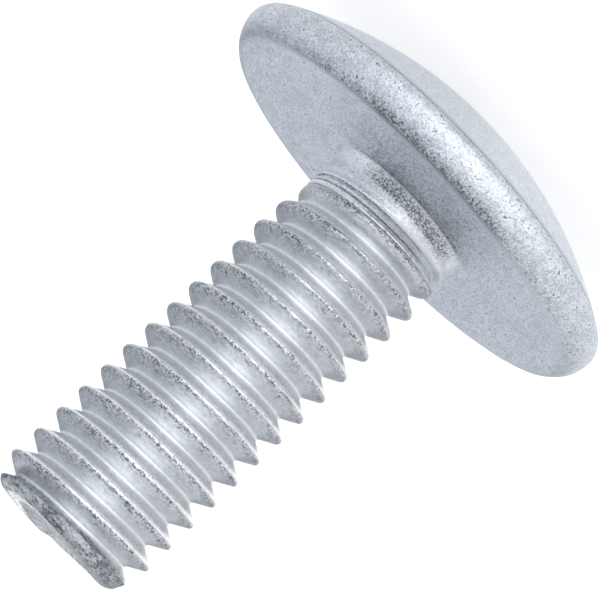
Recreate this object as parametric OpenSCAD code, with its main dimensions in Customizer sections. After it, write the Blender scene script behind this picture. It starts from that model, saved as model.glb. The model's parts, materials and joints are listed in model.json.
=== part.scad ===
// Mushroom head machine screw, cold formed from one piece of zinc coated steel.
// It stands on its head, because it would roll on its side: the top of the dome
// touches the surface at the origin, and +Z is the axis, from the head to the tip.

/* [Head] */
// Diameter of the head at the widest line of its rim
head_d = 16.2; // [14:0.1:20]
// Height of the head, from the top of the dome to the bearing face
head_h = 3.8; // [3:0.1:5]
// Distance of the rim's widest line from the bearing face
rim_h = 0.95; // [0.7:0.05:1.2]
// How far the edge of the bearing face lies inside the widest line
bearing_set_in = 0.5; // [0.2:0.05:0.7]
// Distance of the crease between rim and dome from the widest line
crease_drop = 0.44; // [0.3:0.02:0.7]
// How far the crease lies inside the widest line
crease_set_in = 0.26; // [0.1:0.02:0.3]

/* [Neck] */
// Diameter of the neck where its flare ends
neck_d = 5.38; // [5:0.02:5.6]
// Diameter of the flare where it meets the head
flare_d = 5.94; // [5.7:0.02:7]
// Length of the flared neck from the bearing face
neck_l = 0.55; // [0.3:0.05:1]

/* [Thread] */
// Outside diameter over the crests
thread_d = 5.85; // [5.4:0.05:6]
// Distance from one crest to the next
pitch = 1; // [0.75:0.05:1.25]
// Length from the bearing face to the end of the screw
length = 15.8; // [10:0.05:30]
// Angle between the flanks of a groove
flank_angle = 60; // [50:1:70]
// Width of the rounded crest
crest_w = 0.2; // [0.1:0.01:0.25]
// Height of the rounding of the crest
crest_round = 0.05; // [0.01:0.01:0.08]
// Width of the root
root_w = 0.13; // [0.05:0.01:0.2]
// Length over which the thread runs out towards the neck
runout_l = 1.4; // [0.5:0.05:2]
// Mean distance from the bearing face at which the run-out ends
runout_start = 1; // [0.6:0.05:2]
// How much later and earlier the thread starts on two opposite sides
runout_tilt = 0.7; // [0:0.05:1]
// Side on which the thread starts last, in degrees
runout_turn = 0; // [0:5:355]
// Turn of the thread about the axis, in degrees
thread_turn = 102; // [0:1:359]

/* [Tip] */
// Diameter of the end
tip_d = 5.1; // [4.4:0.05:5.4]
// Length of the taper towards the end
tip_l = 0.9; // [0.4:0.05:2]
// How far the sheared end is out of square
end_slant = 0.14; // [0:0.01:0.4]
// Side on which the sheared end is longest, in degrees
end_turn = 40; // [0:5:355]
// Depth of the shallow cup that thread rolling leaves in the end
cup_depth = 0.18; // [0.05:0.01:0.5]

/* [Hidden] */

// Facets of the round surfaces
$fn = 96;
// Steps of the thread in one turn
steps = 40;
// Step by which the start of the thread stays inside the neck
seat = 0.03;
// Length by which the shank reaches down into the neck
plug_l = 0.3;
// Rows of the thread nearer than this to an end are taken into that end
snap = 0.03;

// Head
head_r = head_d / 2;
rim_z = head_h - rim_h;
crease_r = head_r - crease_set_in;
crease_z = rim_z - crease_drop;
bearing_arc_r = arc_r(bearing_set_in, rim_h);
crease_arc_r = arc_r(crease_set_in, crease_drop);
dome_r = arc_r(crease_z, crease_r);

// Neck
neck_r = neck_d / 2;
flare_r = flare_d / 2;
flare_arc_r = arc_r(flare_r - neck_r, neck_l);
neck_z = head_h + neck_l;
plug_z = neck_z - plug_l;

// Thread, with one row of points along each edge of the profile
crest_r = thread_d / 2;
shoulder_r = crest_r - crest_round;
depth = crest_round + (pitch - crest_w - root_w) / 2 / tan(flank_angle / 2);
root_r = crest_r - depth;
profile = [
    [-root_w / 2, root_r],
    [root_w / 2, root_r],
    [pitch / 2 - crest_w / 2, shoulder_r],
    [pitch / 2, crest_r],
    [pitch / 2 + crest_w / 2, shoulder_r],
    [pitch - root_w / 2, root_r]
];
rows = len(profile) - 1;
first_turn = floor(neck_l / pitch) - 2;
last_turn = ceil(length / pitch) + 2;
row_count = rows * (last_turn - first_turn);

// Tip
tip_r = tip_d / 2;
cup_z = head_h + length - end_slant / 2 - cup_depth;

// Last row of each column at or below the neck, and first row at or past the tip
low_rows = [
    for (i = [0 : steps - 1])
        max([for (j = [0 : row_count - 1]) if (column_z(i, j) <= neck_z) j])
];
top_rows = [
    for (i = [0 : steps - 1])
        min([for (j = [0 : row_count - 1]) if (column_z(i, j) >= tip_z(angle(i))) j])
];

// Radius of an arc that leaves its tangent by set_in over a run along it
function arc_r(set_in, run) = (set_in * set_in + run * run) / (2 * set_in);

// Angle of a column about the axis
function angle(i) = 360 * i / steps;

// Height of the end of the screw at an angle
function tip_z(a) = head_h + length - end_slant * (1 - cos(a - end_turn)) / 2;

// Height of a row of the endless thread in one column
function row_z(i, j) =
    let (turns = first_turn + floor(j / rows) + (angle(i) + thread_turn) / 360)
    head_h + pitch * turns + profile[j % rows][0];

// Height of that row, limited to the length of the thread
function column_z(i, j) =
    let (z = row_z(i, j), end_z = tip_z(angle(i)))
    z < neck_z + snap ? neck_z : z > end_z - snap ? end_z : z;

// Radius of the endless thread at an angle and a height
function thread_r(a, z) =
    let (turns = (z - head_h + root_w / 2) / pitch - (a + thread_turn) / 360)
    lookup((turns - floor(turns)) * pitch - root_w / 2, profile);

// Height at which the thread starts at an angle
function start_z(a) = head_h + runout_start + runout_tilt * cos(a - runout_turn);

// Share of the thread that is formed on its run-out, none where it sits in the neck
function runout(a, z) = z <= neck_z ? 0 : min(1, max(0, (z - start_z(a)) / runout_l));

// Largest radius that the taper of the tip leaves
function taper_r(a, z) = tip_r + max(0, tip_z(a) - z) * (crest_r - tip_r) / tip_l;

// Radius of the finished shank
function shank_r(a, z) =
    let (inner_r = neck_r - seat)
    min(taper_r(a, z), inner_r + (thread_r(a, z) - inner_r) * runout(a, z));

// Point of the shank in one column and row, with the rows inside the neck taken down to the plug's end
function column_point(i, j) =
    let (a = angle(i), z = j < low_rows[i] ? plug_z : column_z(i, j), r = shank_r(a, z))
    [r * cos(a), r * sin(a), z];

// Number of a point in the list, with rows past an end taken as that end
function point_number(i, j) =
    i == steps
        ? point_number(0, j + rows)
        : i * row_count + min(max(j, low_rows[i] - 1), top_rows[i]);

// Half section of the rim: two arcs that meet at the widest line
module rim_section() {
    intersection() {
        translate([head_r - bearing_arc_r, rim_z]) circle(bearing_arc_r);
        translate([head_r / 2, rim_z]) square([head_r, rim_h]);
    }
    intersection() {
        translate([head_r - crease_arc_r, rim_z]) circle(crease_arc_r);
        translate([head_r / 2, crease_z]) square([head_r, crease_drop]);
    }
}

// Half section of the head inside the rim, over the dome
module dome_section() {
    translate([0, crease_z]) square([head_r - bearing_arc_r, head_h - crease_z]);
    intersection() {
        translate([0, dome_r]) circle(dome_r);
        square([head_r, crease_z]);
    }
}

// Half section of the neck, flared towards the head
module neck_section() {
    difference() {
        translate([0, rim_z]) square([flare_r, neck_z - rim_z]);
        translate([neck_r + flare_arc_r, neck_z]) circle(flare_arc_r);
    }
}

// Head and neck, turned about the axis
module head() {
    rotate_extrude() {
        rim_section();
        dome_section();
        neck_section();
    }
}

// Threaded shank: rows of points that climb with the pitch, closed at both ends
module thread() {
    shell = [for (i = [0 : steps - 1], j = [0 : row_count - 1]) column_point(i, j)];
    plug_mid = len(shell);
    tip_mid = plug_mid + 1;
    walls = [
        for (i = [0 : steps - 1], j = [0 : row_count - rows - 2])
            let (
                a = point_number(i, j),
                b = point_number(i + 1, j),
                c = point_number(i + 1, j + 1),
                d = point_number(i, j + 1)
            )
            each [if (a != d) [a, d, c], if (b != c) [a, c, b]]
    ];
    ends = [
        for (i = [0 : steps - 1])
            each [
                [plug_mid, point_number(i, 0), point_number(i + 1, -rows)],
                [tip_mid, point_number(i + 1, row_count), point_number(i, row_count)]
            ]
    ];
    polyhedron(
        points = concat(shell, [[0, 0, plug_z], [0, 0, cup_z]]),
        faces = concat(walls, ends)
    );
}

// The whole screw
module screw() {
    color("silver") {
        head();
        thread();
    }
}

screw();
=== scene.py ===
"""Looks of a zinc coated mushroom head screw that stands on its head on a white floor.

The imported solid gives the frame: where the screw stands, how wide its head is, where the
bearing face lies and how far the thread reaches. One finer piece replaces that solid. Its head
is a section spun about the axis, its thread a section wound up by the Screw modifier, and both
are bridged at the neck. All lengths are in metres. The photograph was taken from the -Y side,
and +X lies at the left of the picture.
"""

import json
import logging
import math
from dataclasses import dataclass, field
from enum import Enum
from typing import Any

import bpy
import numpy as np
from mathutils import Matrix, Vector, noise


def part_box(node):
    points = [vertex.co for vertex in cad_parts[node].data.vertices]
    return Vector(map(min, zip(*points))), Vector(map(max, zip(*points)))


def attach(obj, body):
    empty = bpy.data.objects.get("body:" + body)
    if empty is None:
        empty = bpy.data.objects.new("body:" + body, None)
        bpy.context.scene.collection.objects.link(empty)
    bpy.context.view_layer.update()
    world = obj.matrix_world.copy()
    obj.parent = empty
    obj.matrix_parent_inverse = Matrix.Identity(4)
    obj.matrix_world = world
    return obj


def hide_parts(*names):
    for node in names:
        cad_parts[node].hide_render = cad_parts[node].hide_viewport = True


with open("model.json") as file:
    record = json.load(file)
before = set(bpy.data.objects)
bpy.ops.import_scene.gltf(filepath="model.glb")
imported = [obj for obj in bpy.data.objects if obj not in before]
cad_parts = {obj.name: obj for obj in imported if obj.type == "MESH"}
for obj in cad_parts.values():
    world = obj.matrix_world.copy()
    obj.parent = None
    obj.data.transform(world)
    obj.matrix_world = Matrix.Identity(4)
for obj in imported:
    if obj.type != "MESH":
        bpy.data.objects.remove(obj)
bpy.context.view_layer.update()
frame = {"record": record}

MM = 0.001
FULL_TURN = 2.0 * math.pi
NODE = "screw"
LOG = logging.getLogger("screw")

Colour = tuple[float, float, float, float]
Triple = tuple[float, float, float]


class Zone(Enum):
    """Parts of the surface with their own finish or painted shade, kept as vertex attributes."""

    CREST = "crest"
    PIT = "pit"
    DOTS = "dots"
    GRAIN = "grain"
    # painted shade: foot of the neck, rim edge, crease, shank's shadow and the cupped end
    SHADE = "shade"
    TIP = "tip"
    FACE = "face"
    THREAD = "thread"
    NECK = "neck"
    LINES = "lines"


@dataclass(frozen=True)
class Fade:
    """A smooth step from 0 at its start to 1 at its end, which may be the lower one."""

    start: float
    end: float

    def __call__(self, values: np.ndarray) -> np.ndarray:
        """Share from 0 to 1 for each value."""
        share = np.clip((values - self.start) / (self.end - self.start), 0.0, 1.0)
        return share * share * (3.0 - 2.0 * share)


@dataclass(frozen=True)
class Band:
    """A stretch of values with a smooth rise, a full part and a smooth fall."""

    start: float
    full: float
    last: float
    end: float

    @property
    def rise(self) -> Fade:
        """The rise at the start."""
        return Fade(self.start, self.full)

    @property
    def fall(self) -> Fade:
        """The fall at the end."""
        return Fade(self.end, self.last)

    def __call__(self, values: np.ndarray) -> np.ndarray:
        """Share from 0 to 1 for each value."""
        return self.rise(values) * self.fall(values)


@dataclass(frozen=True)
class Amount:
    """A strength that grows with a share: its least, and what a full share adds."""

    least: float
    more: float

    def __call__(self, share: Any) -> Any:
        """Strength at a share, given as numbers or as a shader's socket."""
        return self.least + self.more * share


@dataclass(frozen=True)
class Grain:
    """Noise with grains of one width, under finer layers of some strength."""

    size: float
    layers: float
    strength: float = 0.5


@dataclass(frozen=True)
class Wear:
    """How far a rough surface stands out: broad bumps, fine bumps and how deep it sinks."""

    broad: float
    fine: float
    sunk: float


def arc_radius(set_in: float, run: float) -> float:
    """Radius of an arc that leaves its tangent by set_in over a run along it."""
    return (set_in * set_in + run * run) / (2.0 * set_in)


def arc(
    centre: tuple[float, float], radius: float, start: float, end: float, parts: int
) -> list[Vector]:
    """Points of an arc in the XZ plane.

    Args:
        centre: Middle of the arc, as X and Z.
        radius: Radius of the arc.
        start: Angle of the first point from +X towards +Z, in radians.
        end: Angle of the last point.
        parts: Number of straight parts.

    Returns:
        The points, both ends included.
    """
    angles = (start + (end - start) * part / parts for part in range(parts + 1))
    return [
        Vector((centre[0] + radius * math.cos(angle), 0.0, centre[1] + radius * math.sin(angle)))
        for angle in angles
    ]


def straight(start: Vector, end: Vector, parts: int) -> list[Vector]:
    """Points that divide a straight line, without its first point."""
    return [start.lerp(end, part / parts) for part in range(1, parts + 1)]


def deselect() -> None:
    """Leaves nothing selected, because operators act on all that is."""
    bpy.ops.object.select_all(action="DESELECT")


def activate(piece: bpy.types.Object) -> None:
    """Leaves one piece selected and active.

    Args:
        piece: The piece.
    """
    deselect()
    piece.select_set(True)
    bpy.context.view_layer.objects.active = piece


def edit(piece: bpy.types.Object) -> None:
    """Opens one piece in edit mode with all of it selected.

    Args:
        piece: The piece.
    """
    activate(piece)
    bpy.ops.object.mode_set(mode="EDIT")
    bpy.ops.mesh.select_all(action="SELECT")


def close_edit() -> None:
    """Goes back to object mode."""
    bpy.ops.object.mode_set(mode="OBJECT")


def merge_doubles(within: float = 0.002 * MM) -> None:
    """Merges vertices of the open mesh that lie in one place."""
    bpy.ops.mesh.select_all(action="SELECT")
    bpy.ops.mesh.remove_doubles(threshold=within)


def draw_line(name: str, points: list[Vector]) -> bpy.types.Object:
    """Draws an open line by extruding one vertex from point to point.

    Args:
        name: Name of the new object.
        points: Points of the line.

    Returns:
        The object, at the origin.
    """
    deselect()
    bpy.ops.mesh.primitive_plane_add(size=MM, location=points[0])
    line = bpy.context.object
    line.name = name
    bpy.ops.object.transform_apply(location=True, rotation=True, scale=True)
    edit(line)
    bpy.ops.mesh.merge(type="CENTER")
    for start, end in zip(points, points[1:]):
        bpy.ops.mesh.extrude_vertices_move(TRANSFORM_OT_translate={"value": end - start})
    close_edit()
    return line


def positions(piece: bpy.types.Object) -> np.ndarray:
    """Reads the places of all vertices.

    Args:
        piece: Piece with a mesh.

    Returns:
        One row for each vertex.
    """
    flat = np.empty(len(piece.data.vertices) * 3)
    piece.data.vertices.foreach_get("co", flat)
    return flat.reshape(-1, 3)


def move_to(piece: bpy.types.Object, places: np.ndarray) -> None:
    """Puts all vertices at new places."""
    piece.data.vertices.foreach_set("co", places.ravel())
    piece.data.update()


def bumps(places: np.ndarray, size: float, seed: float) -> np.ndarray:
    """Seeded noise at given places.

    Args:
        places: Points, one row each.
        size: Width of one bump.
        seed: Shift of the pattern.

    Returns:
        One value from about -1 to 1 for each point.
    """
    shift = Vector((seed, 2.0 * seed, 3.0 * seed))
    return np.array([noise.noise(Vector(place) / size + shift) for place in places])


@dataclass
class Head:
    """Domed head with its rounded rim, bearing face and flared neck."""

    radius: float
    height: float
    rim_depth: float = 0.95 * MM
    bearing_set_in: float = 0.5 * MM
    crease_drop: float = 0.44 * MM
    crease_set_in: float = 0.26 * MM
    neck_radius: float = 2.69 * MM
    flare_radius: float = 2.97 * MM
    neck_length: float = 0.55 * MM
    bridge_length: float = 0.06 * MM
    score_depth: float = 0.03 * MM
    score_steps: tuple[Triple, ...] = ((-0.6, 0.0, 0.8), (0.5, 0.0, 0.8))
    dome_parts: int = 26
    rim_parts: int = 11
    face_parts: int = 18
    flare_parts: int = 9
    steps: int = 240

    @property
    def rim_z(self) -> float:
        """Height of the rim's widest line."""
        return self.height - self.rim_depth

    @property
    def crease_z(self) -> float:
        """Height of the crease between rim and dome."""
        return self.rim_z - self.crease_drop

    @property
    def crease_radius(self) -> float:
        """Radius of the crease between rim and dome."""
        return self.radius - self.crease_set_in

    @property
    def bearing_radius(self) -> float:
        """Radius of the outer edge of the bearing face."""
        return self.radius - self.bearing_set_in

    @property
    def neck_z(self) -> float:
        """Height of the end of the flared neck."""
        return self.height + self.neck_length

    def section(self) -> list[Vector]:
        """Half section, from the top of the dome round the rim to the end of the flared neck.

        Returns:
            Points in the XZ plane.
        """
        dome_arc = arc_radius(self.crease_z, self.crease_radius)
        crease_arc = arc_radius(self.crease_set_in, self.crease_drop)
        bearing_arc = arc_radius(self.bearing_set_in, self.rim_depth)
        flare_arc = arc_radius(self.flare_radius - self.neck_radius, self.neck_length)
        down = -math.pi / 2.0
        dome_end = down + math.asin(self.crease_radius / dome_arc)
        crease_start = -math.asin(self.crease_drop / crease_arc)
        bearing_end = math.asin(self.rim_depth / bearing_arc)
        flare_start = -math.pi + math.asin(self.neck_length / flare_arc)
        crease_centre = (self.radius - crease_arc, self.rim_z)
        bearing_centre = (self.radius - bearing_arc, self.rim_z)
        flare_centre = (self.neck_radius + flare_arc, self.neck_z)
        dome = arc((0.0, dome_arc), dome_arc, down, dome_end, self.dome_parts)
        crease = arc(crease_centre, crease_arc, crease_start, 0.0, self.rim_parts)
        bearing = arc(bearing_centre, bearing_arc, 0.0, bearing_end, self.rim_parts)
        flare = arc(flare_centre, flare_arc, flare_start, -math.pi, self.flare_parts)
        score = [dome[-1] + self.score_depth * Vector(step) for step in self.score_steps]
        points = dome + score + crease[1:] + bearing[1:]
        return points + straight(bearing[-1], flare[0], self.face_parts) + flare[1:]

    def build(self) -> bpy.types.Object:
        """Spins the half section about the axis.

        Returns:
            The head, open at the end of its neck.
        """
        head = draw_line("head", self.section())
        edit(head)
        bpy.ops.mesh.spin(steps=self.steps, angle=FULL_TURN, center=(0, 0, 0), axis=(0, 0, 1))
        merge_doubles()
        close_edit()
        return head


@dataclass
class Thread:
    """Right-hand thread with a run-out at the neck and an end sheared a little out of square."""

    crest_radius: float
    base_z: float
    start_z: float
    end_z: float
    neck_radius: float
    pitch: float = 1.0 * MM
    turn: float = math.radians(102.0)
    flank_angle: float = math.radians(60.0)
    crest_round: float = 0.14 * MM
    root_round: float = 0.1 * MM
    runout: float = 1.4 * MM
    runout_start: float = 1.0 * MM
    runout_tilt: float = 0.7 * MM
    runout_blend: float = 0.25 * MM
    groove_lead: float = 0.25 * MM
    tip_radius: float = 2.55 * MM
    tip_length: float = 0.9 * MM
    tip_round: float = 0.2 * MM
    end_slant: float = 0.14 * MM
    end_turn: float = math.radians(40.0)
    dent: float = 0.1 * MM
    dent_degrees: Band = Band(79.0, 90.0, 125.0, 168.0)
    dent_height: Fade = Fade(-0.6 * MM, -0.2 * MM)
    dent_radius: Fade = Fade(0.8 * MM, 2.0 * MM)
    cup: tuple[tuple[float, float], ...] = (
        (0.97, 0.0),
        (0.95, 0.02 * MM),
        (0.85, 0.06 * MM),
        (0.7, 0.05 * MM),
        (0.5, 0.02 * MM),
        (0.3, 0.01 * MM),
    )
    scores: tuple[tuple[float, float], ...] = (
        (0.0, -0.07 * MM),
        (0.14, -0.03 * MM),
        (0.87, 0.025 * MM),
        (0.74, -0.03 * MM),
        (0.27, 0.02 * MM),
    )
    score_width: float = 0.04
    score_blend: float = 0.1 * MM
    scored: Fade = Fade(0.5, 0.0)
    cut_near: float = 0.001 * MM
    cut_merge: float = 0.02 * MM
    spare_turns: int = 2
    steps: int = 240
    crest_parts: int = 6
    root_parts: int = 2
    flank_parts: int = 3

    def section(self) -> list[Vector]:
        """Section of one pitch, from the middle of a groove to the middle of the next.

        Returns:
            Points in the XZ plane, with the first at the height of the base.
        """
        lean = (math.pi - self.flank_angle) / 2.0
        half = self.pitch / 2.0
        flank_run = half - (self.crest_round + self.root_round) * math.sin(lean)
        flank_rise = flank_run * math.tan(lean)
        round_rise = (self.crest_round + self.root_round) * (1.0 - math.cos(lean))
        root_x = self.crest_radius - flank_rise - round_rise + self.root_round
        crest_x = self.crest_radius - self.crest_round
        first = arc((root_x, 0.0), self.root_round, math.pi, math.pi - lean, self.root_parts)
        crest = arc((crest_x, half), self.crest_round, -lean, lean, self.crest_parts)
        last = arc((root_x, self.pitch), self.root_round, math.pi + lean, math.pi, self.root_parts)
        points = first + straight(first[-1], crest[0], self.flank_parts) + crest[1:]
        return points + straight(crest[-1], last[0], self.flank_parts) + last[1:]

    def wind(self) -> bpy.types.Object:
        """Winds the section up along the axis, past both ends of the thread.

        Returns:
            The endless thread as an open tube.
        """
        first_turn = math.floor((self.start_z - self.base_z) / self.pitch) - self.spare_turns
        last_turn = math.ceil((self.end_z - self.base_z) / self.pitch) + self.spare_turns
        lift = self.base_z + self.pitch * (first_turn + self.turn / FULL_TURN)
        rise = Vector((0.0, 0.0, lift))
        thread = draw_line("thread", [point + rise for point in self.section()])
        screw = thread.modifiers.new("wind", "SCREW")
        screw.axis = "Z"
        screw.angle = FULL_TURN
        screw.screw_offset = self.pitch
        screw.iterations = last_turn - first_turn
        screw.steps = self.steps
        screw.render_steps = self.steps
        bpy.ops.object.modifier_apply(modifier=screw.name)
        edit(thread)
        merge_doubles()
        close_edit()
        return thread

    def end_height(self, angles: np.ndarray) -> np.ndarray:
        """Height of the sheared end at angles about the axis."""
        return self.end_z - self.end_slant * (1.0 - np.cos(angles - self.end_turn)) / 2.0

    def turns(self, angles: np.ndarray, heights: np.ndarray) -> np.ndarray:
        """Turns of the thread between the base and a place."""
        return (heights - self.base_z) / self.pitch - (angles + self.turn) / FULL_TURN

    def phase(self, angles: np.ndarray, heights: np.ndarray) -> np.ndarray:
        """Share of a pitch from the groove below: 0 in a groove, 0.5 on a crest."""
        turns = self.turns(angles, heights)
        return turns - np.floor(turns)

    def formed(self, angles: np.ndarray, heights: np.ndarray, lead: float = 0.0) -> np.ndarray:
        """Share of the thread that is formed on its run-out, which starts later on the +X side.

        Args:
            angles: Angles about the axis.
            heights: Heights above the floor.
            lead: How much nearer to the head the forming starts.

        Returns:
            One share from 0 to 1 for each point.
        """
        start = self.base_z + self.runout_start + self.runout_tilt * np.cos(angles) - lead
        share = np.clip((heights - start) / (self.runout - lead), 0.0, 1.0)
        return share * Fade(self.start_z, self.start_z + self.runout_blend)(heights)

    def score_marks(self, angles: np.ndarray, heights: np.ndarray) -> np.ndarray:
        """Fine lines that the rolling left on the neck where no thread is formed yet.

        Args:
            angles: Angles about the axis.
            heights: Heights above the floor.

        Returns:
            How far each point stands out.
        """
        phase = self.phase(angles, heights)
        marks = np.zeros(len(phase))
        for place, height in self.scores:
            off = np.abs(phase - place)
            off = np.minimum(off, 1.0 - off)
            marks += height * np.exp(-((off / self.score_width) ** 2))
        marks *= self.scored(self.formed(angles, heights))
        return marks * Fade(self.start_z, self.start_z + self.score_blend)(heights)

    def shape_ends(self, thread: bpy.types.Object) -> None:
        """Fades the thread into the neck and narrows its tip, as thread rolling does.

        Args:
            thread: The wound thread.
        """
        places = positions(thread)
        heights = places[:, 2]
        angles = np.arctan2(places[:, 1], places[:, 0])
        radii = np.hypot(places[:, 0], places[:, 1])
        crests = self.formed(angles, heights)
        grooves = self.formed(angles, heights, self.groove_lead)
        share = np.where(radii > self.neck_radius, crests, grooves)
        faded = self.neck_radius + (radii - self.neck_radius) * share
        faded += self.score_marks(angles, heights)
        below_end = np.maximum(self.end_height(angles) - heights, 0.0)
        slope = (self.crest_radius - self.tip_radius) / self.tip_length
        inside = np.clip(self.tip_round - below_end, 0.0, self.tip_round)
        rounding = self.tip_round - np.sqrt(self.tip_round**2 - inside**2)
        shaped = np.minimum(faded, self.tip_radius + below_end * slope - rounding)
        places[:, 0] *= shaped / radii
        places[:, 1] *= shaped / radii
        move_to(thread, places)

    def cut_ends(self, thread: bpy.types.Object) -> None:
        """Cuts the thread level at the neck and a little out of square at the cupped tip.

        Args:
            thread: The shaped thread, still open at both ends.
        """
        lean = self.end_slant / (2.0 * self.tip_radius)
        tip_normal = (-lean * math.cos(self.end_turn), -lean * math.sin(self.end_turn), 1.0)
        middle = Vector((0.0, 0.0, self.end_z - self.end_slant / 2.0))
        neck = {"plane_co": (0, 0, self.start_z), "plane_no": (0, 0, 1), "clear_inner": True}
        tip = {"plane_co": middle, "plane_no": tip_normal, "clear_outer": True}
        edit(thread)
        for cut in (neck, tip):
            bpy.ops.mesh.select_all(action="SELECT")
            bpy.ops.mesh.bisect(threshold=self.cut_near, **cut)
            bpy.ops.mesh.remove_doubles(threshold=self.cut_merge)
        for scale, drop in self.cup:
            step = {"value": (0.0, 0.0, -drop)}
            bpy.ops.mesh.extrude_edges_move(TRANSFORM_OT_translate=step)
            middle.z -= drop
            bpy.ops.transform.resize(value=(scale, scale, scale), center_override=middle)
        bpy.ops.mesh.merge(type="CENTER")
        close_edit()

    def dent_end(self, thread: bpy.types.Object) -> None:
        """Presses part of the end's edge in, on the far side.

        Args:
            thread: The thread with its ends cut.
        """
        places = positions(thread)
        side = self.dent_degrees(np.degrees(np.arctan2(places[:, 1], places[:, 0])))
        near_end = self.dent_height(places[:, 2] - self.end_z)
        outer = self.dent_radius(np.hypot(places[:, 0], places[:, 1]))
        places[:, 2] -= self.dent * side * near_end * outer
        move_to(thread, places)

    def build(self) -> bpy.types.Object:
        """Makes the finished shank.

        Returns:
            The thread, open towards the neck.
        """
        thread = self.wind()
        self.shape_ends(thread)
        self.cut_ends(thread)
        self.dent_end(thread)
        return thread


class Socket:
    """One output of a shader node, with arithmetic that adds Math nodes."""

    def __init__(self, tree: "Shader", output: bpy.types.NodeSocket) -> None:
        """Keeps the node's output and the tree that it belongs to."""
        self.tree = tree
        self.output = output

    def math(self, operation: str, first: Any, second: Any = 0.0) -> "Socket":
        """Adds one Math node.

        Args:
            operation: Name of the operation.
            first: First value or socket.
            second: Second value or socket.

        Returns:
            The result.
        """
        return self.tree.node("ShaderNodeMath", {"operation": operation}, {0: first, 1: second})

    def __add__(self, other: Any) -> "Socket":
        """Sum."""
        return self.math("ADD", self, other)

    __radd__ = __add__

    def __sub__(self, other: Any) -> "Socket":
        """Difference."""
        return self.math("SUBTRACT", self, other)

    def __rsub__(self, other: Any) -> "Socket":
        """Difference from a number."""
        return self.math("SUBTRACT", other, self)

    def __mul__(self, other: Any) -> "Socket":
        """Product."""
        return self.math("MULTIPLY", self, other)

    __rmul__ = __mul__

    def __abs__(self) -> "Socket":
        """Value without its sign."""
        return self.math("ABSOLUTE", self)


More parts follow.
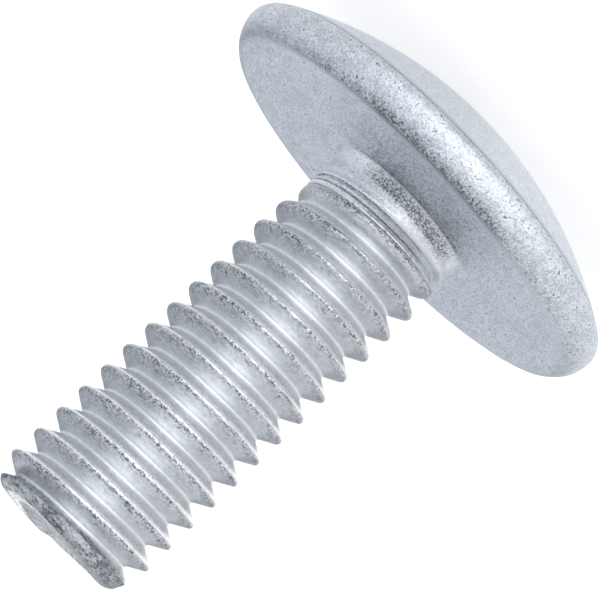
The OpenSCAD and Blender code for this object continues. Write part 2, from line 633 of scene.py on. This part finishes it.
class Shader:
    """A material's or the world's node tree, written as expressions."""

    brightest: float = 4.0
    full_share: float = 0.4

    def __init__(self, owner: bpy.types.ID) -> None:
        """Starts an empty tree.

        Args:
            owner: Material or world that the tree belongs to.
        """
        owner.use_nodes = True
        self.tree = owner.node_tree
        self.tree.nodes.clear()

    def node(
        self, kind: str, settings: dict[str, Any], inputs: dict[Any, Any], output: Any = 0
    ) -> Socket:
        """Adds one node.

        Args:
            kind: Type of the node.
            settings: Properties that are set first.
            inputs: Values or sockets for the node's inputs, by name or number.
            output: Name or number of the output that is used.

        Returns:
            That output.
        """
        made = self.tree.nodes.new(kind)
        for name, value in settings.items():
            setattr(made, name, value)
        for name, value in inputs.items():
            if isinstance(value, Socket):
                self.tree.links.new(value.output, made.inputs[name])
            else:
                made.inputs[name].default_value = value
        return Socket(self, made.outputs[output] if len(made.outputs) else None)

    def vector(self, operation: str, first: Any, second: Any, output: Any = 0) -> Socket:
        """Adds one Vector Math node."""
        inputs = {0: first, 1: second}
        return self.node("ShaderNodeVectorMath", {"operation": operation}, inputs, output)

    def place(self, kind: str = "Object") -> Socket:
        """Coordinates of the shaded place."""
        return self.node("ShaderNodeTexCoord", {}, {}, kind)

    def axis(self, place: Socket, name: str) -> Socket:
        """One coordinate of a place."""
        return self.node("ShaderNodeSeparateXYZ", {}, {0: place}, name)

    def ray(self, kind: str) -> Socket:
        """Whether the light path is of a kind."""
        return self.node("ShaderNodeLightPath", {}, {}, kind)

    def zone(self, zone: Zone) -> Socket:
        """Reads the share of one zone of the surface."""
        return self.node("ShaderNodeAttribute", {"attribute_name": zone.value}, {}, "Fac")

    def stretched(self, place: Socket, scale: Triple, share: Socket) -> Socket:
        """Coordinates scaled where a share says so."""
        inputs = {"Factor": share, 4: place, 5: self.vector("MULTIPLY", place, scale)}
        return self.node("ShaderNodeMix", {"data_type": "VECTOR"}, inputs, 1)

    def grains(self, place: Socket, grain: Grain) -> Socket:
        """Noise at a place, with values round 0.5.

        Args:
            place: Coordinates to read.
            grain: Width and layers of the noise.

        Returns:
            The noise.
        """
        inputs = {
            "Vector": place,
            "Scale": 1.0 / grain.size,
            "Detail": grain.layers,
            "Roughness": grain.strength,
        }
        return self.node("ShaderNodeTexNoise", {}, inputs, "Fac")

    def fade(self, value: Socket, limits: Fade) -> Socket:
        """Smooth, limited step between two values."""
        inputs = {"Value": value, "From Min": limits.start, "From Max": limits.end}
        return self.node("ShaderNodeMapRange", {"interpolation_type": "SMOOTHSTEP"}, inputs)

    def band(self, value: Socket, limits: Band) -> Socket:
        """Smooth rise and fall over a stretch of values."""
        return self.fade(value, limits.rise) * self.fade(value, limits.fall)

    def near(self, value: Socket, centre: float, width: float) -> Socket:
        """Rises to 1 where a value comes within a width of a centre."""
        return self.fade(abs(value - centre), Fade(width, self.full_share * width))

    def toward(self, kind: str, direction: Triple) -> Socket:
        """How much a place or a view ray points one way, as seen from the origin.

        Args:
            kind: Coordinate output to read.
            direction: Way to look, of length 1.

        Returns:
            The cosine of the angle between both.
        """
        place = self.place(kind)
        unit = self.node("ShaderNodeVectorMath", {"operation": "NORMALIZE"}, {0: place})
        return self.vector("DOT_PRODUCT", unit, direction, "Value")

    def distance(self, centre: Triple) -> Socket:
        """Distance of the shaded place from a point."""
        return self.vector("DISTANCE", self.place(), centre, "Value")

    def winding(self, place: Socket, thread: Thread) -> Socket:
        """Share of a pitch from the groove below, worked out at each shaded place.

        Args:
            place: Place on the piece.
            thread: The thread to follow.

        Returns:
            Values from 0 to 1.
        """
        height = (self.axis(place, "Z") - thread.base_z) * (1.0 / thread.pitch)
        across = self.axis(place, "Y")
        angle = across.math("ARCTAN2", across, self.axis(place, "X"))
        turns = height - (angle + thread.turn) * (1.0 / FULL_TURN)
        return turns.math("FRACT", turns)

    def blend(self, share: Socket, first: Any, second: Any) -> Socket:
        """Mixes two colours."""
        settings = {"data_type": "RGBA", "clamp_factor": True}
        return self.node("ShaderNodeMix", settings, {"Factor": share, 6: first, 7: second}, 2)

    def grey(self, level: Socket) -> Socket:
        """Grey of a given level, up to several times white."""
        white = (self.brightest, self.brightest, self.brightest, 1.0)
        return self.blend((1.0 / self.brightest) * level, (0.0, 0.0, 0.0, 1.0), white)


@dataclass(frozen=True)
class Pattern:
    """What the coating's colour, roughness and bumps share, as sockets."""

    phase: Socket
    specks: Socket
    fine: Socket
    holes: Socket
    grain: Socket
    mottle: Socket
    coarse: Socket


@dataclass(frozen=True)
class ZincCoating:
    """Pale satin zinc: cool on the head, whiter in the thread, grained, with flecks and pits.

    Lines and dots lie at a share of the pitch, and fades over noise read its values round 0.5.
    """

    head: Colour = (0.74, 0.78, 0.84, 1.0)
    thread: Colour = (0.72, 0.74, 0.77, 1.0)
    neck: Colour = (0.85, 0.88, 0.92, 1.0)
    pit: Colour = (0.10, 0.115, 0.135, 1.0)
    fleck: Colour = (0.98, 0.985, 0.99, 1.0)
    metal: float = 0.9
    speck_grain: Grain = Grain(0.11 * MM, 3.0, 0.6)
    fine_grain: Grain = Grain(0.07 * MM, 1.0)
    hole_grain: Grain = Grain(0.115 * MM, 2.0, 0.6)
    coat_grain: Grain = Grain(0.075 * MM, 4.0, 0.75)
    mottle_grain: Grain = Grain(0.45 * MM, 4.0, 0.6)
    face_stretch: Triple = (1.0, 0.35, 1.0)
    thread_stretch: Triple = (0.4, 0.4, 1.0)
    dark_lines: tuple[float, ...] = (0.96, 0.18, 0.41)
    pale_lines: tuple[float, ...] = (0.07, 0.29)
    line_width: float = 0.045
    line_breaks: Fade = Fade(0.42, 0.55)
    score_dark: Amount = Amount(0.35, 0.3)
    score_bump: float = 0.7
    crest_line: float = 0.383
    crest_line_width: float = 0.08
    crest_wave: float = 0.12
    crest_breaks: Fade = Fade(0.38, 0.47)
    dots_line: float = 0.505
    dots_width: float = 0.1
    dots_grain: Fade = Fade(0.56, 0.46)
    dots_patches: Fade = Fade(0.36, 0.54)
    dots_dark: float = 0.32
    dark_grain: Fade = Fade(0.58, 0.4)
    grain_dark: Amount = Amount(0.14, 0.24)
    hole_limits: Fade = Fade(0.4, 0.33)
    hole_patches: Fade = Fade(0.38, 0.58)
    hole_dark: float = 0.75
    dull_patches: Fade = Fade(0.54, 0.4)
    dull_dark: float = 0.14
    pit_grain: Fade = Fade(0.56, 0.44)
    pit_dark: Amount = Amount(0.14, 0.55)
    shade_dark: Amount = Amount(0.42, 0.44)
    blotch_fine: float = 0.4
    blotch_limits: Fade = Fade(0.62, 0.76)
    stain_dark: Amount = Amount(0.25, 0.4)
    satin: Amount = Amount(0.36, 0.06)
    mottle_rough: float = 0.06
    root_rough: float = 0.12
    root_limits: Fade = Fade(0.43, 0.48)
    grain_height: float = 0.025 * MM
    grain_bump: Amount = Amount(0.2, 0.8)

    def pattern(self, shader: Shader, thread: Thread) -> Pattern:
        """Lays out the noises and the thread's phase.

        Args:
            shader: Tree to add to.
            thread: The thread that lines and dots follow.

        Returns:
            The sockets to share.
        """
        place = shader.place()
        drawn = shader.stretched(place, self.face_stretch, shader.zone(Zone.FACE))
        drawn = shader.stretched(drawn, self.thread_stretch, shader.zone(Zone.THREAD))
        return Pattern(
            phase=shader.winding(place, thread),
            specks=shader.grains(place, self.speck_grain),
            fine=shader.grains(place, self.fine_grain),
            holes=shader.grains(drawn, self.hole_grain),
            grain=shader.grains(drawn, self.coat_grain),
            mottle=shader.grains(drawn, self.mottle_grain),
            coarse=shader.zone(Zone.GRAIN),
        )

    def lines(self, shader: Shader, pattern: Pattern, places: tuple[float, ...]) -> Socket:
        """Share of fine lines along the run-out, at places in the pitch."""
        near = sum(shader.near(pattern.phase, place, self.line_width) for place in places)
        return near * shader.zone(Zone.LINES)

    def flecks(self, shader: Shader, pattern: Pattern) -> Socket:
        """Share of the pale flecks, in a broken line on the crests and in lines on the run-out.

        Args:
            shader: Tree to add to.
            pattern: Noises and phase.

        Returns:
            The share.
        """
        wavy = pattern.phase + self.crest_wave * (pattern.specks - 0.5)
        crest = shader.near(wavy, self.crest_line, self.crest_line_width)
        crest *= shader.zone(Zone.CREST) * shader.fade(pattern.specks, self.crest_breaks)
        runout = self.lines(shader, pattern, self.pale_lines)
        return crest + runout * shader.fade(pattern.specks, self.line_breaks)

    def darkness(self, shader: Shader, pattern: Pattern) -> Socket:
        """Share of the dark grain, holes, pits, dots, painted shade, stained tip and scored lines.

        Args:
            shader: Tree to add to.
            pattern: Noises and phase.

        Returns:
            The share, which may pass 1.
        """
        mottle = pattern.mottle
        grain = shader.fade(pattern.grain, self.dark_grain)
        holes = shader.fade(pattern.holes, self.hole_limits)
        holes *= shader.fade(mottle, self.hole_patches)
        dull = shader.fade(mottle, self.dull_patches) * (1.0 - shader.zone(Zone.THREAD))
        dots = shader.near(pattern.phase, self.dots_line, self.dots_width)
        dots *= shader.fade(pattern.fine, self.dots_grain) * shader.fade(mottle, self.dots_patches)
        blotches = shader.fade(mottle + self.blotch_fine * pattern.fine, self.blotch_limits)
        dark = grain * self.grain_dark(pattern.coarse)
        dark += (self.hole_dark * holes + self.dull_dark * dull) * pattern.coarse
        dark += shader.zone(Zone.PIT) * self.pit_dark(shader.fade(pattern.fine, self.pit_grain))
        dark += shader.zone(Zone.DOTS) * dots * self.dots_dark
        # painted shade, darker where the grain is dark
        dark += shader.zone(Zone.SHADE) * self.shade_dark(grain)
        dark += shader.zone(Zone.TIP) * self.stain_dark(blotches)
        return dark + self.lines(shader, pattern, self.dark_lines) * self.score_dark(grain)

    def colour(self, shader: Shader, pattern: Pattern) -> Socket:
        """Colour of the coating.

        Args:
            shader: Tree to add to.
            pattern: Noises and phase.

        Returns:
            The colour.
        """
        base = shader.blend(shader.zone(Zone.THREAD), self.head, self.thread)
        base = shader.blend(shader.zone(Zone.NECK), base, self.neck)
        darkened = shader.blend(self.darkness(shader, pattern), base, self.pit)
        return shader.blend(self.flecks(shader, pattern), darkened, self.fleck)

    def roughness(self, shader: Shader, pattern: Pattern) -> Socket:
        """Roughness of the coating, which is higher on coarse grain and in the thread's root.

        Args:
            shader: Tree to add to.
            pattern: Noises and phase.

        Returns:
            The roughness.
        """
        root = shader.fade(abs(pattern.phase - 0.5), self.root_limits) * shader.zone(Zone.THREAD)
        rough = self.satin(pattern.coarse) + self.mottle_rough * (pattern.mottle - 0.5)
        return rough + self.root_rough * root

    def normal(self, shader: Shader, pattern: Pattern) -> Socket:
        """Normal that the fine grain and the scored lines turn.

        Args:
            shader: Tree to add to.
            pattern: Noises and phase.

        Returns:
            The normal.
        """
        height = pattern.grain * self.grain_bump(pattern.coarse)
        height -= self.score_bump * self.lines(shader, pattern, self.dark_lines)
        inputs = {"Strength": 1.0, "Distance": self.grain_height, "Height": height}
        return shader.node("ShaderNodeBump", {}, inputs, "Normal")

    def material(self, thread: Thread) -> bpy.types.Material:
        """Makes the material.

        Args:
            thread: The thread that lines and dots follow.

        Returns:
            The finished material.
        """
        made = bpy.data.materials.new("zinc coating")
        shader = Shader(made)
        pattern = self.pattern(shader, thread)
        inputs = {
            "Base Color": self.colour(shader, pattern),
            "Metallic": self.metal,
            "Roughness": self.roughness(shader, pattern),
            "Normal": self.normal(shader, pattern),
        }
        surface = shader.node("ShaderNodeBsdfPrincipled", {}, inputs)
        shader.node("ShaderNodeOutputMaterial", {}, {"Surface": surface})
        return made


@dataclass
class Surface:
    """Vertices of the joined piece, and how much each belongs to each zone.

    Fades over height read the height above the bearing face or the crease, fades over depth the
    depth below the end, fades over phase the share of a pitch, and fades over a side the cosine
    of the angle to it.
    """

    head: Head
    thread: Thread
    places: np.ndarray
    formed: Fade = Fade(0.1, 0.5)
    side_radius: Fade = Fade(2.2 * MM, 2.35 * MM)
    tip_depth: Fade = Fade(0.62 * MM, 0.48 * MM)
    # painted shade in the cupped end of the thread
    end_depth: Fade = Fade(0.3 * MM, 0.1 * MM)
    end_shade: float = 0.8
    rim_height: Fade = Fade(-0.05 * MM, 0.05 * MM)
    rim_width: Fade = Fade(-0.06 * MM, 0.06 * MM)
    dome_height: Fade = Fade(0.0, -0.08 * MM)
    face_height: Fade = Fade(-0.02 * MM, 0.0)
    face_top: Fade = Fade(0.03 * MM, 0.0)
    neck_radius: Fade = Fade(3.15 * MM, 2.95 * MM)
    front_side: Fade = Fade(0.5, 0.95)
    crest_middle: float = 0.45
    crest_phase: Fade = Fade(0.25, 0.2)
    dots_front: Amount = Amount(0.35, 0.65)
    pit_phase: Band = Band(0.44, 0.5, 0.54, 0.7)
    # pits are real, but their extra share at the left is painted shade
    pits_and_left_shade: Amount = Amount(0.6, 0.1)
    flank_pit_phase: Band = Band(0.55, 0.65, 0.75, 0.9)
    left_flank_shade_pits: float = 0.5
    left_side: Fade = Fade(0.0, 0.6)
    upper_flank: Band = Band(0.4, 0.5, 0.6, 0.95)
    lower_flank: Band = Band(0.05, 0.2, 0.4, 0.5)
    upper_flank_grain: float = 0.8
    lower_flank_grain: float = 0.36
    neck_grain: float = 0.5
    face_grain: float = 0.7
    dome_grain: float = 0.4
    # painted shade in the fillet at the foot of the neck and on the front of the neck
    patch_height: Band = Band(-0.2 * MM, 0.3 * MM, 0.42 * MM, 0.55 * MM)
    patch_side: Fade = Fade(0.55, 0.9)
    patch_turn: float = 0.2
    front_neck_height: float = 0.2 * MM
    front_neck_shade: float = 0.12
    # painted shade along the rim's edge, strongest on the front and middle
    edge_height: float = 0.5 * MM
    edge_front: float = 0.3
    edge_middle: float = 0.6
    edge_left: float = 0.35
    middle_side: Fade = Fade(0.9, 0.97)
    edge_left_side: Fade = Fade(-0.1, 0.4)
    # painted shade in the crease between rim and dome
    crease_width: Fade = Fade(0.09 * MM, 0.03 * MM)
    crease_shade: float = 0.45
    # painted shadow and dark reflection of the shank on the bearing face
    shank_shade_width: Fade = Fade(3.2 * MM, 1.6 * MM)
    shank_shade_front: Fade = Fade(0.0, -1.0 * MM)
    shank_shade_reach: Fade = Fade(9.5 * MM, 3.0 * MM)
    shank_shade_strength: float = 0.46
    line_turns: Band = Band(0.86, 0.95, 1.44, 1.5)
    line_side: Fade = Fade(-0.85, -0.5)

    def __post_init__(self) -> None:
        """Measures all vertices, and finds the parts of the screw that they lie on."""
        head, thread = self.head, self.thread
        self.x, self.y, heights = self.places.T
        self.angles = np.arctan2(self.y, self.x)
        self.radii = np.hypot(self.x, self.y)
        self.heights = heights
        self.above_face = heights - head.height
        self.above_crease = heights - head.crease_z
        self.below_end = thread.end_height(self.angles) - heights
        self.phase = thread.phase(self.angles, heights)
        self.to_left = np.cos(self.angles)
        self.to_front = -np.sin(self.angles)
        self.front = self.front_side(self.to_front)
        self.threaded = self.formed(thread.formed(self.angles, heights, thread.groove_lead))
        self.side = self.side_radius(self.radii)
        self.tip = self.tip_depth(self.below_end) * self.side
        outside = self.rim_width(self.radii - head.bearing_radius)
        over_face = self.face_height(self.above_face)
        self.rim = self.rim_height(self.above_crease) * outside
        self.face = over_face * (1.0 - outside) * self.face_top(self.above_face)
        self.neck = over_face * (1.0 - self.threaded) * self.neck_radius(self.radii)
        self.dome = self.dome_height(self.above_crease)
        self.rolled = self.threaded * (1.0 - self.tip)

    def crest(self) -> np.ndarray:
        """Share of the crests."""
        return self.crest_phase(np.abs(self.phase - self.crest_middle)) * self.rolled

    def pits(self) -> np.ndarray:
        """Share of dark pits on the crests and, at the left, on the flanks as painted shade.

        Returns:
            One share for each vertex.
        """
        left = self.left_side(self.to_left)
        share = self.pit_phase(self.phase) * self.pits_and_left_shade(left)
        # extra pits on the left flanks: painted shade
        share += self.left_flank_shade_pits * left * self.flank_pit_phase(self.phase)
        return np.clip(share, 0.0, 1.0) * self.rolled

    def grain(self) -> np.ndarray:
        """Share of the coarse grain on rim, tip, flanks, neck, face and dome.

        Returns:
            One share for each vertex.
        """
        flanks = self.upper_flank_grain * self.upper_flank(self.phase)
        flanks += self.lower_flank_grain * self.lower_flank(self.phase)
        share = self.rim + self.tip + flanks * self.threaded + self.neck_grain * self.neck
        share += self.face_grain * self.face + self.dome_grain * self.dome
        return np.clip(share, 0.0, 1.0)

    def neck_shade(self) -> np.ndarray:
        """Share of the painted shade at the foot of the neck and on the front of the neck.

        Returns:
            One share for each vertex.
        """
        patch = self.patch_height(self.above_face)
        patch *= self.patch_side(-np.sin(self.angles + self.patch_turn))
        front_neck = Fade(self.front_neck_height, self.head.neck_length)(self.above_face) * self.front
        return self.neck * (patch + self.front_neck_shade * front_neck)

    def edge_shade(self) -> np.ndarray:
        """Share of the painted shade along the edge between rim and bearing face.

        Returns:
            One share for each vertex.
        """
        edge = self.rim * Fade(self.edge_height - self.head.rim_depth, 0.0)(self.above_face)
        around = self.edge_front * self.front
        around += self.edge_middle * self.middle_side(self.to_front)
        around += self.edge_left * self.edge_left_side(self.to_left)
        return edge * around

    def shade(self) -> np.ndarray:
        """Share of all painted shade: neck, rim edge, crease, bearing face and cupped end.

        Returns:
            One share for each vertex.
        """
        off_crease = np.hypot(self.radii - self.head.crease_radius, self.above_crease)
        # painted shadow and dark reflection of the shank on the bearing face
        shank_shade = self.shank_shade_width(np.abs(self.x)) * self.shank_shade_front(self.y)
        shank_shade *= self.shank_shade_reach(self.radii) * self.face
        # painted shade in the cupped end
        end = self.end_depth(self.below_end) * (1.0 - self.side)
        share = self.neck_shade() + self.edge_shade() + self.shank_shade_strength * shank_shade
        share += self.crease_shade * self.crease_width(off_crease) + self.end_shade * end
        return np.clip(share, 0.0, 1.0)

    def lines(self) -> np.ndarray:
        """Share of the run-out that shows fine lines."""
        turns = self.thread.turns(self.angles, self.heights)
        return self.line_turns(turns) * self.line_side(self.to_left)

    def zones(self) -> dict[Zone, np.ndarray]:
        """Collects the zones.

        Returns:
            Shares from 0 to 1, one for each vertex.
        """
        crest = self.crest()
        return {
            Zone.CREST: crest,
            Zone.PIT: self.pits(),
            Zone.DOTS: crest * self.dots_front(self.front),
            Zone.GRAIN: self.grain(),
            Zone.SHADE: self.shade(),
            Zone.TIP: self.tip,
            Zone.FACE: np.clip(self.face + self.dome, 0.0, 1.0),
            Zone.THREAD: self.threaded,
            Zone.NECK: self.neck,
            Zone.LINES: self.lines(),
        }


@dataclass
class Screw:
    """The whole screw: head and thread bridged into one closed piece."""

    head: Head
    thread: Thread
    coating: ZincCoating = field(default_factory=ZincCoating)
    crest_wear: Wear = Wear(0.006 * MM, 0.008 * MM, 0.008 * MM)
    grain_wear: Wear = Wear(0.006 * MM, 0.007 * MM, 0.008 * MM)
    tip_wear: Wear = Wear(0.02 * MM, 0.012 * MM, 0.02 * MM)
    broad_bump: float = 0.5 * MM
    broad_seed: float = 3.1
    fine_bump: float = 0.2 * MM
    fine_seed: float = 7.7
    axis_radius: float = 0.01 * MM
    edge_near: float = 0.01 * MM
    smooth_angle: float = math.radians(50.0)

    @classmethod
    def from_frame(cls) -> "Screw":
        """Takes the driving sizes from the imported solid.

        Returns:
            The screw, not built yet.
        """
        low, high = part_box(NODE)
        mounts = {mount["name"]: mount for mount in frame["record"]["mounts"]}
        bearing_z = mounts["bearing_face"]["pos_m"][2] - low.z
        head = Head(radius=(high.x - low.x) / 2.0, height=bearing_z)
        thread = Thread(
            crest_radius=mounts["thread"]["dims"]["r_mm"] * MM,
            base_z=bearing_z,
            start_z=head.neck_z + head.bridge_length,
            end_z=high.z,
            neck_radius=head.neck_radius,
        )
        return cls(head, thread)

    def join(self) -> bpy.types.Object:
        """Bridges head and thread at the neck.

        Returns:
            One closed piece.
        """
        piece = self.head.build()
        shank = self.thread.build()
        activate(piece)
        shank.select_set(True)
        bpy.ops.object.join()
        piece.name = "zinc_screw"
        edit(piece)
        merge_doubles()
        bpy.ops.mesh.select_all(action="DESELECT")
        bpy.ops.mesh.select_mode(type="EDGE")
        bpy.ops.mesh.select_non_manifold()
        bpy.ops.mesh.bridge_edge_loops()
        bpy.ops.mesh.select_mode(type="VERT")
        bpy.ops.mesh.select_all(action="SELECT")
        bpy.ops.mesh.normals_make_consistent(inside=False)
        close_edit()
        return piece

    def mark_foot(self, piece: bpy.types.Object) -> None:
        """Marks the edge between bearing face and neck, so that it shades as a crisp line.

        Args:
            piece: The joined piece, before wear.
        """
        places = positions(piece)
        off_edge = np.hypot(places[:, 0], places[:, 1]) - self.head.flare_radius
        ring = np.hypot(off_edge, places[:, 2] - self.head.height) < self.edge_near
        edit(piece)
        bpy.ops.mesh.select_all(action="DESELECT")
        close_edit()
        piece.data.vertices.foreach_set("select", ring)
        bpy.ops.object.mode_set(mode="EDIT")
        bpy.ops.mesh.mark_sharp()
        close_edit()

    def roughen(self, piece: bpy.types.Object, zones: dict[Zone, np.ndarray]) -> None:
        """Roughens crests, grained parts and tip, as coated, rolled steel is.

        Args:
            piece: The joined piece.
            zones: Shares of the zones.
        """
        places = positions(piece)
        radii = np.maximum(np.hypot(places[:, 0], places[:, 1]), self.axis_radius)
        broad = bumps(places, self.broad_bump, self.broad_seed)
        fine = bumps(places, self.fine_bump, self.fine_seed)
        worn = {
            Zone.CREST: self.crest_wear,
            Zone.GRAIN: self.grain_wear,
            Zone.TIP: self.tip_wear,
        }
        out = sum(
            zones[zone] * (wear.broad * broad + wear.fine * fine - wear.sunk)
            for zone, wear in worn.items()
        )
        places[:, 0] *= 1.0 + out / radii
        places[:, 1] *= 1.0 + out / radii
        move_to(piece, places)

    def dress(self, piece: bpy.types.Object, zones: dict[Zone, np.ndarray]) -> None:
        """Gives the piece its zones, its coating and smooth shading.

        Args:
            piece: The finished mesh.
            zones: Shares of the zones.
        """
        for zone, share in zones.items():
            attribute = piece.data.attributes.new(zone.value, "FLOAT", "POINT")
            attribute.data.foreach_set("value", share.astype(np.float32))
        piece.data.materials.clear()
        piece.data.materials.append(self.coating.material(self.thread))
        activate(piece)
        bpy.ops.object.shade_smooth_by_angle(angle=self.smooth_angle, keep_sharp_edges=True)

    def build(self) -> bpy.types.Object:
        """Makes the piece and puts it in the solid's place.

        Returns:
            The dressed piece.
        """
        piece = self.join()
        zones = Surface(self.head, self.thread, positions(piece)).zones()
        self.mark_foot(piece)
        self.roughen(piece, zones)
        self.dress(piece, zones)
        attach(piece, "root")
        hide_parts(NODE)
        return piece


@dataclass(frozen=True)
class Softbox:
    """One rectangular lamp."""

    name: str
    place: Triple
    aim: Triple
    width: float
    height: float
    power: float

    def build(self) -> bpy.types.Object:
        """Hangs the lamp.

        Returns:
            The lamp.
        """
        deselect()
        bpy.ops.object.light_add(type="AREA", location=self.place)
        lamp = bpy.context.object
        lamp.name = self.name
        lamp.data.shape = "RECTANGLE"
        lamp.data.size = self.width
        lamp.data.size_y = self.height
        lamp.data.energy = self.power
        direction = Vector(self.aim) - Vector(self.place)
        lamp.rotation_euler = direction.to_track_quat("-Z", "Y").to_euler()
        return lamp


@dataclass(frozen=True)
class Viewpoint:
    """Camera at the photograph's viewing angle, turned about its own axis as the photo is."""

    target: Triple = (0.154 * MM, 0.879 * MM, 8.064 * MM)
    distance: float = 100.0 * MM
    elevation: float = math.radians(10.266)
    roll: float = math.radians(-133.441)
    lens: float = 180.0
    nearest: float = MM

    def build(self) -> bpy.types.Object:
        """Puts the camera up.

        Returns:
            The camera.
        """
        forward = Vector((0.0, math.cos(self.elevation), -math.sin(self.elevation)))
        deselect()
        bpy.ops.object.camera_add(location=Vector(self.target) - forward * self.distance)
        camera = bpy.context.object
        camera.data.lens = self.lens
        camera.data.clip_start = self.nearest
        camera.rotation_euler = forward.to_track_quat("-Z", "Y").to_euler()
        camera.rotation_euler.rotate_axis("Z", self.roll)
        bpy.context.scene.camera = camera
        return camera


@dataclass(frozen=True)
class Floor:
    """White floor that keeps the screw's shadow and shows in the metal as a bright studio table."""

    front: Triple
    size: float = 8.0
    matt: Colour = (0.5, 0.5, 0.5, 1.0)
    glow: float = 0.68
    mirrored: Amount = Amount(0.58, 0.15)
    right: Triple = (-1.0, 0.0, 0.0)
    right_side: Fade = Fade(-0.6, 0.6)
    front_side: Fade = Fade(0.7, 0.95)
    front_near: Fade = Fade(10.0 * MM, 16.0 * MM)
    front_near_glow: float = 0.92
    front_band: Band = Band(14.0 * MM, 20.0 * MM, 40.0 * MM, 70.0 * MM)
    front_band_glow: float = 1.15
    under: Fade = Fade(14.0 * MM, 8.0 * MM)
    under_glow: float = 0.05
    far: Fade = Fade(25.0 * MM, 60.0 * MM)
    far_glow: float = 0.06

    def level(self, shader: Shader) -> Socket:
        """How bright the floor looks to the camera and in the metal.

        Args:
            shader: Tree to add to.

        Returns:
            The level, where 1 is white.
        """
        right = shader.fade(shader.toward("Object", self.right), self.right_side)
        front = shader.fade(shader.toward("Object", self.front), self.front_side)
        away = shader.distance((0.0, 0.0, 0.0))
        ahead = self.front_near_glow * shader.fade(away, self.front_near)
        ahead += self.front_band_glow * shader.band(away, self.front_band)
        around = self.under_glow * shader.fade(away, self.under)
        around += self.far_glow * shader.fade(away, self.far)
        mirror = self.mirrored(right) + front * ahead + around
        return self.glow * shader.ray("Is Camera Ray") + mirror * shader.ray("Is Glossy Ray")

    def build(self) -> bpy.types.Object:
        """Lays the floor.

        Returns:
            The floor.
        """
        deselect()
        bpy.ops.mesh.primitive_plane_add(size=self.size)
        floor = bpy.context.object
        floor.name = "floor"
        made = bpy.data.materials.new("white floor")
        shader = Shader(made)
        matt = shader.node("ShaderNodeBsdfDiffuse", {}, {"Color": self.matt})
        inputs = {"Color": shader.grey(self.level(shader)), "Strength": 1.0}
        glow = shader.node("ShaderNodeEmission", {}, inputs)
        both = shader.node("ShaderNodeAddShader", {}, {0: matt, 1: glow})
        shader.node("ShaderNodeOutputMaterial", {}, {"Surface": both})
        floor.data.materials.append(made)
        return floor


@dataclass(frozen=True)
class Surroundings:
    """Pale studio that the metal mirrors: walls, a bright front, a dark flag and a ceiling."""

    front: Triple
    right: Triple = (-1.0, 0.0, 0.0)
    behind: Triple = (0.0, 0.97, 0.243)
    flag: Triple = (0.0, -0.955, 0.297)
    above: Triple = (0.0, 0.0, 1.0)
    right_side: Fade = Fade(-0.6, 0.6)
    behind_side: Fade = Fade(0.6, 0.9)
    front_side: Fade = Fade(0.85, 0.97)
    flag_side: Fade = Fade(0.955, 0.985)
    above_side: Fade = Fade(0.78, 0.93)
    left_wall: Colour = (0.86, 0.895, 0.94, 1.0)
    right_wall: Colour = (1.06, 1.065, 1.07, 1.0)
    back_wall: Colour = (0.34, 0.37, 0.41, 1.0)
    front_wall: Colour = (1.3, 1.3, 1.3, 1.0)
    flag_cloth: Colour = (0.06, 0.06, 0.06, 1.0)
    ceiling: Colour = (0.75, 0.76, 0.78, 1.0)
    white: Colour = (1.0, 1.0, 1.0, 1.0)

    def build(self) -> bpy.types.World:
        """Makes the world.

        Returns:
            The world.
        """
        world = bpy.data.worlds.new("studio")
        bpy.context.scene.world = world
        shader = Shader(world)
        right = shader.fade(shader.toward("Generated", self.right), self.right_side)
        colour = shader.blend(right, self.left_wall, self.right_wall)
        layers = (
            (self.behind, self.behind_side, self.back_wall),
            (self.front, self.front_side, self.front_wall),
            (self.flag, self.flag_side, self.flag_cloth),
            (self.above, self.above_side, self.ceiling),
        )
        for direction, limits, layer in layers:
            share = shader.fade(shader.toward("Generated", direction), limits)
            colour = shader.blend(share, colour, layer)
        colour = shader.blend(shader.ray("Is Camera Ray"), colour, self.white)
        glow = shader.node("ShaderNodeBackground", {}, {"Color": colour, "Strength": 1.0})
        shader.node("ShaderNodeOutputWorld", {}, {"Surface": glow})
        return world


@dataclass
class Studio:
    """Camera, white floor, pale surroundings and soft lamps."""

    front: Triple = (-0.08, -0.997, 0.0)
    aim: Triple = (0.0, 0.0, 0.008)

    def build(self) -> None:
        """Sets the whole scene up."""
        bpy.context.scene.view_settings.view_transform = "Standard"
        Viewpoint().build()
        Floor(self.front).build()
        Surroundings(self.front).build()
        lamps = (
            Softbox(
                name="back softbox",
                place=(0.01, 0.25, 0.22),
                aim=self.aim,
                width=0.22,
                height=0.16,
                power=0.14,
            ),
            Softbox(
                name="front softbox",
                place=(-0.015, -0.24, 0.017),
                aim=self.aim,
                width=0.08,
                height=0.03,
                power=0.06,
            ),
        )
        for lamp in lamps:
            lamp.build()


def main() -> None:
    """Builds the studio and the screw, and reports each piece."""
    logging.basicConfig(level=logging.INFO)
    Studio().build()
    LOG.info("studio: floor, lamps, surroundings and camera")
    piece = Screw.from_frame().build()
    counts = (len(piece.data.vertices), len(piece.data.polygons))
    LOG.info("%s: %d vertices, %d faces", piece.name, *counts)


if __name__ == "__main__":
    main()
